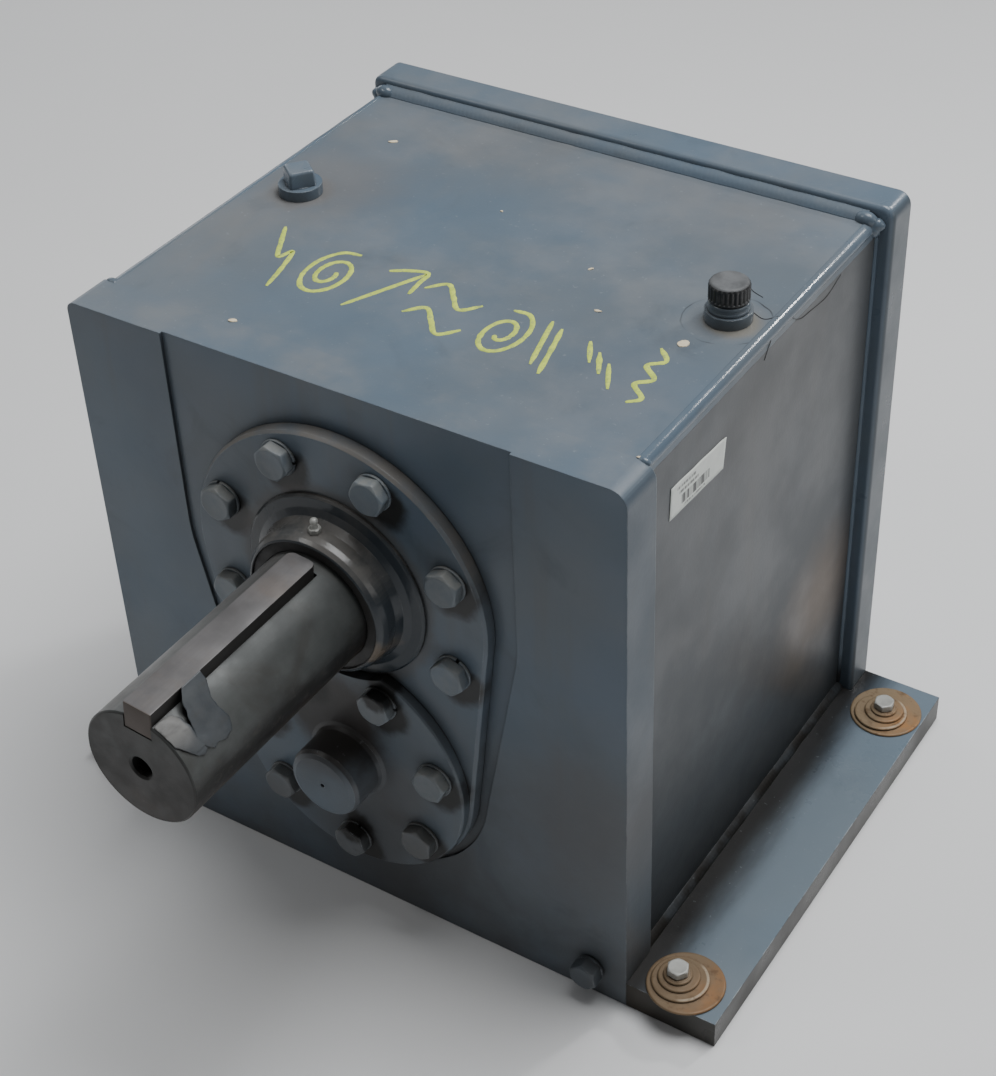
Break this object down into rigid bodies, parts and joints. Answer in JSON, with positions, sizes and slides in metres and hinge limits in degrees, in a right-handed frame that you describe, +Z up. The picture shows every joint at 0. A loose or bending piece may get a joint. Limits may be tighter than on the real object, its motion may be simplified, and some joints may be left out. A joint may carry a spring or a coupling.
{
  "type": "industrial gearbox",
  "caption": "Welded-plate industrial gearbox in grey-blue paint, with a thick keyed output shaft in front, a round bearing cap below it and a small keyed input shaft at the back.",
  "frame": {"origin": "centre of the base plate's underside", "axes": "+Z up; the output shaft points along -Y; +X is to the right when facing that shaft"},
  "size_m": [0.69, 0.835, 0.5825],
  "materials": {
    "grey_blue_paint": "semi-gloss, dusty and worn",
    "shaft_steel": "oiled, dull",
    "bright_steel": "ground",
    "bearing_steel": "ground and oiled",
    "gear_steel": "cut and oiled",
    "key_steel": "cold drawn",
    "zinc_steel": "dull zinc plate",
    "rusty_washer": "yellow plate with rust",
    "gasket_sheet": "oiled fibre",
    "seal_rubber": "matte",
    "black_plastic": "satin",
    "label_paper": "matte",
    "yellow_marker": "chalky paint marker",
    "tape_paper": "greasy"
  },
  "bodies": {
    "housing": {"base_plate": "grey_blue_paint", "front_plate": "grey_blue_paint", "rear_plate": "grey_blue_paint", "left_side_plate": "grey_blue_paint", "right_side_plate": "grey_blue_paint", "top_plate": "grey_blue_paint", "weld_beads": "grey_blue_paint", "front_cover": "grey_blue_paint", "front_cover_gasket": "gasket_sheet", "output_seal_housing": "grey_blue_paint", "output_oil_seal": "seal_rubber", "grease_fitting": "zinc_steel", "lower_bearing_cap": "grey_blue_paint", "lower_cap_gasket": "gasket_sheet", "cover_bolts": "grey_blue_paint", "lower_cap_bolts": "grey_blue_paint", "front_spring_washers": "grey_blue_paint", "output_rear_cap": "grey_blue_paint", "intermediate_rear_cap": "grey_blue_paint", "input_rear_cap": "grey_blue_paint", "rear_cap_gaskets": "gasket_sheet", "rear_cap_bolts": "grey_blue_paint", "input_oil_seal": "seal_rubber", "foot_bolts": "zinc_steel", "foot_washers": "rusty_washer", "fitting_bosses": "grey_blue_paint", "fill_plug": "grey_blue_paint", "breather_body": "grey_blue_paint", "breather_cap": "black_plastic", "drain_plug": "grey_blue_paint", "side_label": "label_paper", "output_front_outer_ring": "bearing_steel", "output_rear_outer_ring": "bearing_steel", "intermediate_front_outer_ring": "bearing_steel", "intermediate_rear_outer_ring": "bearing_steel", "input_front_outer_ring": "bearing_steel", "input_rear_outer_ring": "bearing_steel"},
    "output_shaft": {"output_shaft": "shaft_steel", "output_key": "key_steel", "shaft_tape": "tape_paper", "output_gear": "gear_steel", "output_gear_key": "key_steel", "output_gear_ring": "bright_steel", "output_front_inner_ring": "bearing_steel", "output_rear_inner_ring": "bearing_steel"},
    "intermediate_shaft": {"intermediate_shaft": "gear_steel", "intermediate_gear": "gear_steel", "intermediate_gear_key": "key_steel", "intermediate_gear_ring": "bright_steel", "intermediate_front_inner_ring": "bearing_steel", "intermediate_rear_inner_ring": "bearing_steel"},
    "input_shaft": {"input_shaft": "shaft_steel", "input_front_inner_ring": "bearing_steel", "input_rear_inner_ring": "bearing_steel"},
    "output_front_roller_cage": {"output_front_rollers": "bearing_steel"},
    "output_rear_roller_cage": {"output_rear_rollers": "bearing_steel"},
    "intermediate_front_roller_cage": {"intermediate_front_rollers": "bearing_steel"},
    "intermediate_rear_roller_cage": {"intermediate_rear_rollers": "bearing_steel"},
    "input_front_roller_cage": {"input_front_rollers": "bearing_steel"},
    "input_rear_roller_cage": {"input_rear_rollers": "bearing_steel"}
  },
  "joints": [
    {"name": "output_turn", "type": "hinge", "parent": "housing", "child": "output_shaft", "pos_m": [0, 0, 0.36842], "axis": [0, 1, 0], "continuous": true},
    {"name": "intermediate_turn", "type": "hinge", "parent": "housing", "child": "intermediate_shaft", "pos_m": [0, 0, 0.183], "axis": [0, 1, 0], "continuous": true},
    {"name": "input_turn", "type": "hinge", "parent": "housing", "child": "input_shaft", "pos_m": [0.15028, 0, 0.183], "axis": [0, 1, 0], "continuous": true},
    {"name": "output_front_cage_turn", "type": "hinge", "parent": "housing", "child": "output_front_roller_cage", "pos_m": [0, 0, 0.36842], "axis": [0, 1, 0], "continuous": true},
    {"name": "output_rear_cage_turn", "type": "hinge", "parent": "housing", "child": "output_rear_roller_cage", "pos_m": [0, 0, 0.36842], "axis": [0, 1, 0], "continuous": true},
    {"name": "intermediate_front_cage_turn", "type": "hinge", "parent": "housing", "child": "intermediate_front_roller_cage", "pos_m": [0, 0, 0.183], "axis": [0, 1, 0], "continuous": true},
    {"name": "intermediate_rear_cage_turn", "type": "hinge", "parent": "housing", "child": "intermediate_rear_roller_cage", "pos_m": [0, 0, 0.183], "axis": [0, 1, 0], "continuous": true},
    {"name": "input_front_cage_turn", "type": "hinge", "parent": "housing", "child": "input_front_roller_cage", "pos_m": [0.15028, 0, 0.183], "axis": [0, 1, 0], "continuous": true},
    {"name": "input_rear_cage_turn", "type": "hinge", "parent": "housing", "child": "input_rear_roller_cage", "pos_m": [0.15028, 0, 0.183], "axis": [0, 1, 0], "continuous": true}
  ],
  "couplings": [
    {"joint": "intermediate_turn", "follows": "output_turn", "ratio": -3.5625},
    {"joint": "input_turn", "follows": "output_turn", "ratio": 11.316},
    {"joint": "output_front_cage_turn", "follows": "output_turn", "ratio": 0.43581},
    {"joint": "output_rear_cage_turn", "follows": "output_turn", "ratio": 0.42105},
    {"joint": "intermediate_front_cage_turn", "follows": "output_turn", "ratio": -1.4354},
    {"joint": "intermediate_rear_cage_turn", "follows": "output_turn", "ratio": -1.4371},
    {"joint": "input_front_cage_turn", "follows": "output_turn", "ratio": 4.5436},
    {"joint": "input_rear_cage_turn", "follows": "output_turn", "ratio": 4.573}
  ]
}
